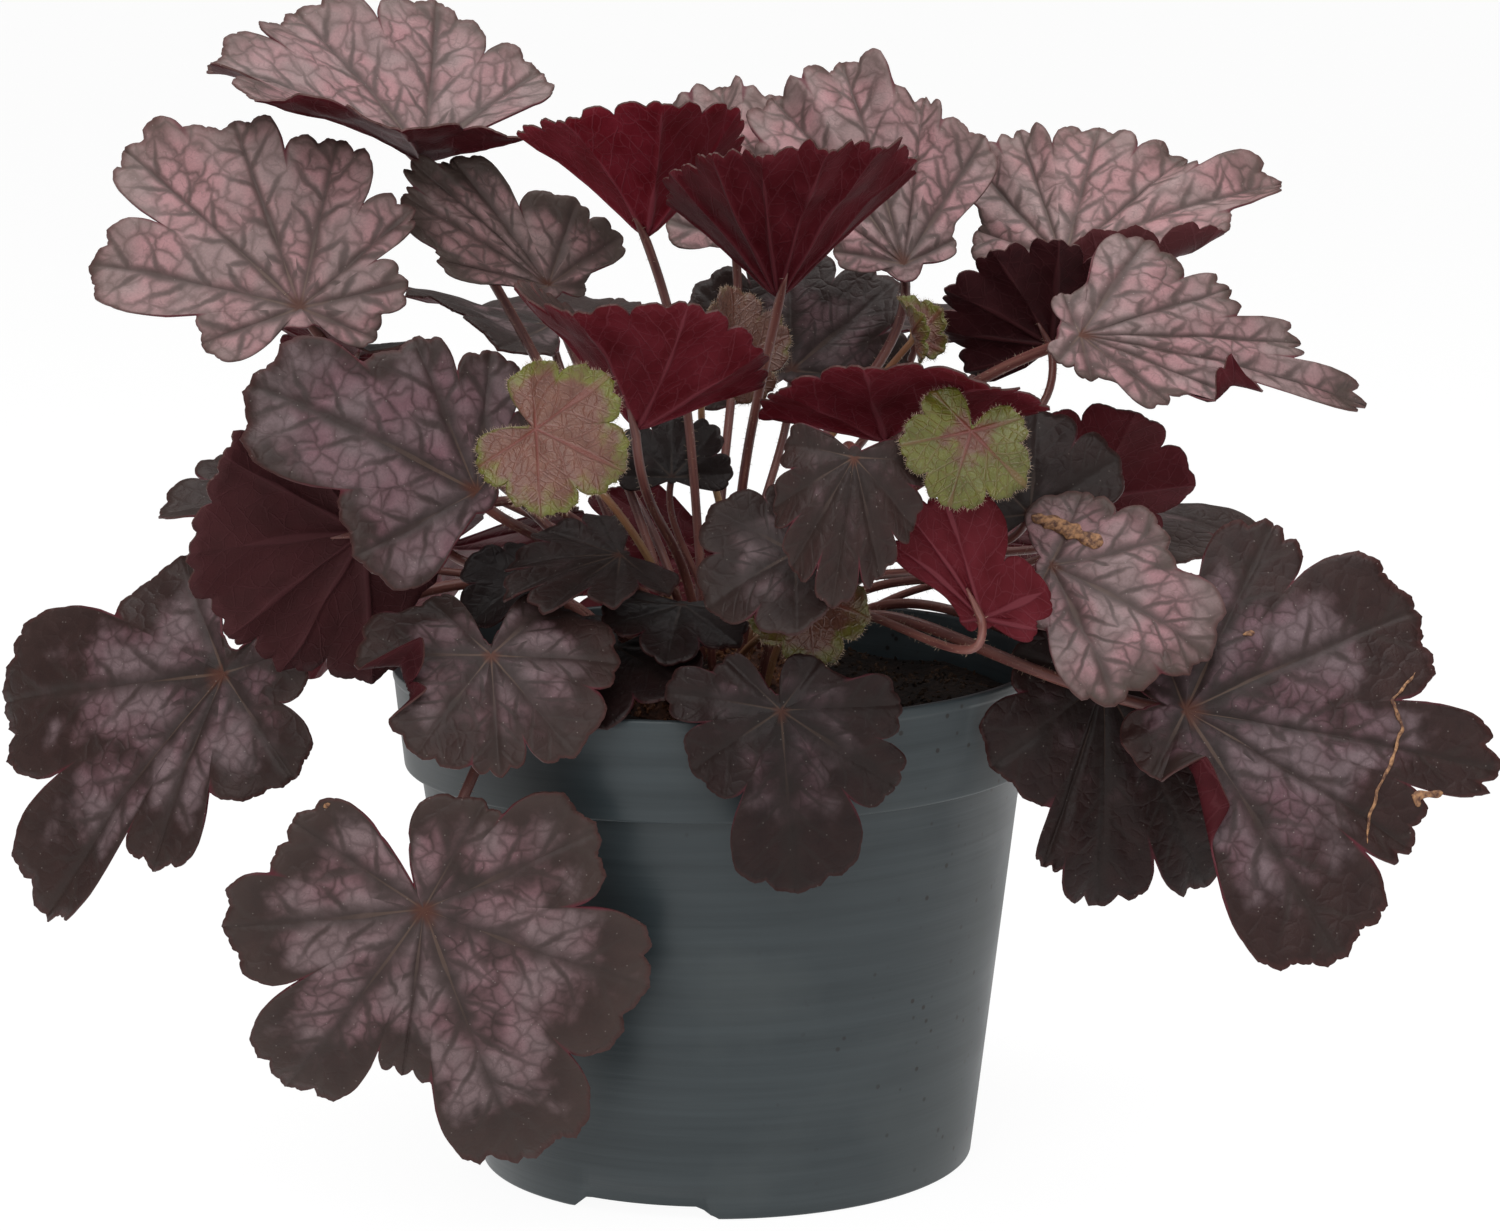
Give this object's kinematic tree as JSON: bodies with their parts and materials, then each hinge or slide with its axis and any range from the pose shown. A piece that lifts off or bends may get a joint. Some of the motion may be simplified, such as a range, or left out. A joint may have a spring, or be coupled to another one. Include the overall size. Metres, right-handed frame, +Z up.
{
  "type": "heuchera plant",
  "caption": "Coral bells plant with scalloped silver-pink, purple-brown and wine leaves on slender stalks, growing in a round plastic nursery pot.",
  "frame": {"origin": "centre of the pot's foot, on the surface that the pot stands on", "axes": "+Z up along the pot's axis, -Y towards the plant's front, +X to the right seen from the front"},
  "size_m": [0.377, 0.2381, 0.3022],
  "materials": {
    "pot_plastic": "dark slate blue-green polypropylene, satin",
    "soil": "moist peat potting soil, matt",
    "crown_bark": "dull brown woody crown with papery scales",
    "leaf": "leaf, satin, purple-brown to silver-pink above and wine red below",
    "young_leaf": "young leaf, satin, lime green with red veins"
  },
  "bodies": {
    "root": {"pot": "pot_plastic", "soil": "soil", "crown": "crown_bark", "leaf_bottom_left": "leaf", "leaf_front_centre": "leaf", "leaf_low_left": "leaf", "leaf_far_left": "leaf", "leaf_right_low": "leaf", "leaf_right_most": "leaf", "leaf_brown_rim": "leaf", "leaf_dark_front": "leaf", "leaf_wine_left": "leaf", "leaf_pink_left": "leaf", "leaf_upper_left": "leaf", "leaf_under_left": "leaf", "leaf_top_left": "leaf", "leaf_grey_top": "leaf", "leaf_dark_left": "leaf", "leaf_grey_left": "leaf", "leaf_low_back_left": "leaf", "leaf_wine_top": "leaf", "leaf_wine_crest": "leaf", "leaf_pale_top": "leaf", "leaf_pale_behind": "leaf", "leaf_dark_behind": "leaf", "leaf_frill_bud": "young_leaf", "leaf_tiny_bud": "young_leaf", "leaf_wine_middle": "leaf", "leaf_wine_right": "leaf", "leaf_young_bronze": "young_leaf", "leaf_young_lime": "young_leaf", "leaf_young_low": "young_leaf", "leaf_dark_folded": "leaf", "leaf_dark_pink": "leaf", "leaf_dark_middle": "leaf", "leaf_right_top": "leaf", "leaf_far_right": "leaf", "leaf_wine_far_right": "leaf", "leaf_right_wine": "leaf", "leaf_right_pale": "leaf", "leaf_right_back_wine": "leaf", "leaf_right_roll": "leaf", "leaf_dark_by_lime": "leaf", "leaf_back_left": "leaf", "leaf_back_middle": "leaf", "leaf_back_right": "leaf", "leaf_back_high_left": "leaf", "leaf_back_high_right": "leaf"}
  },
  "joints": []
}
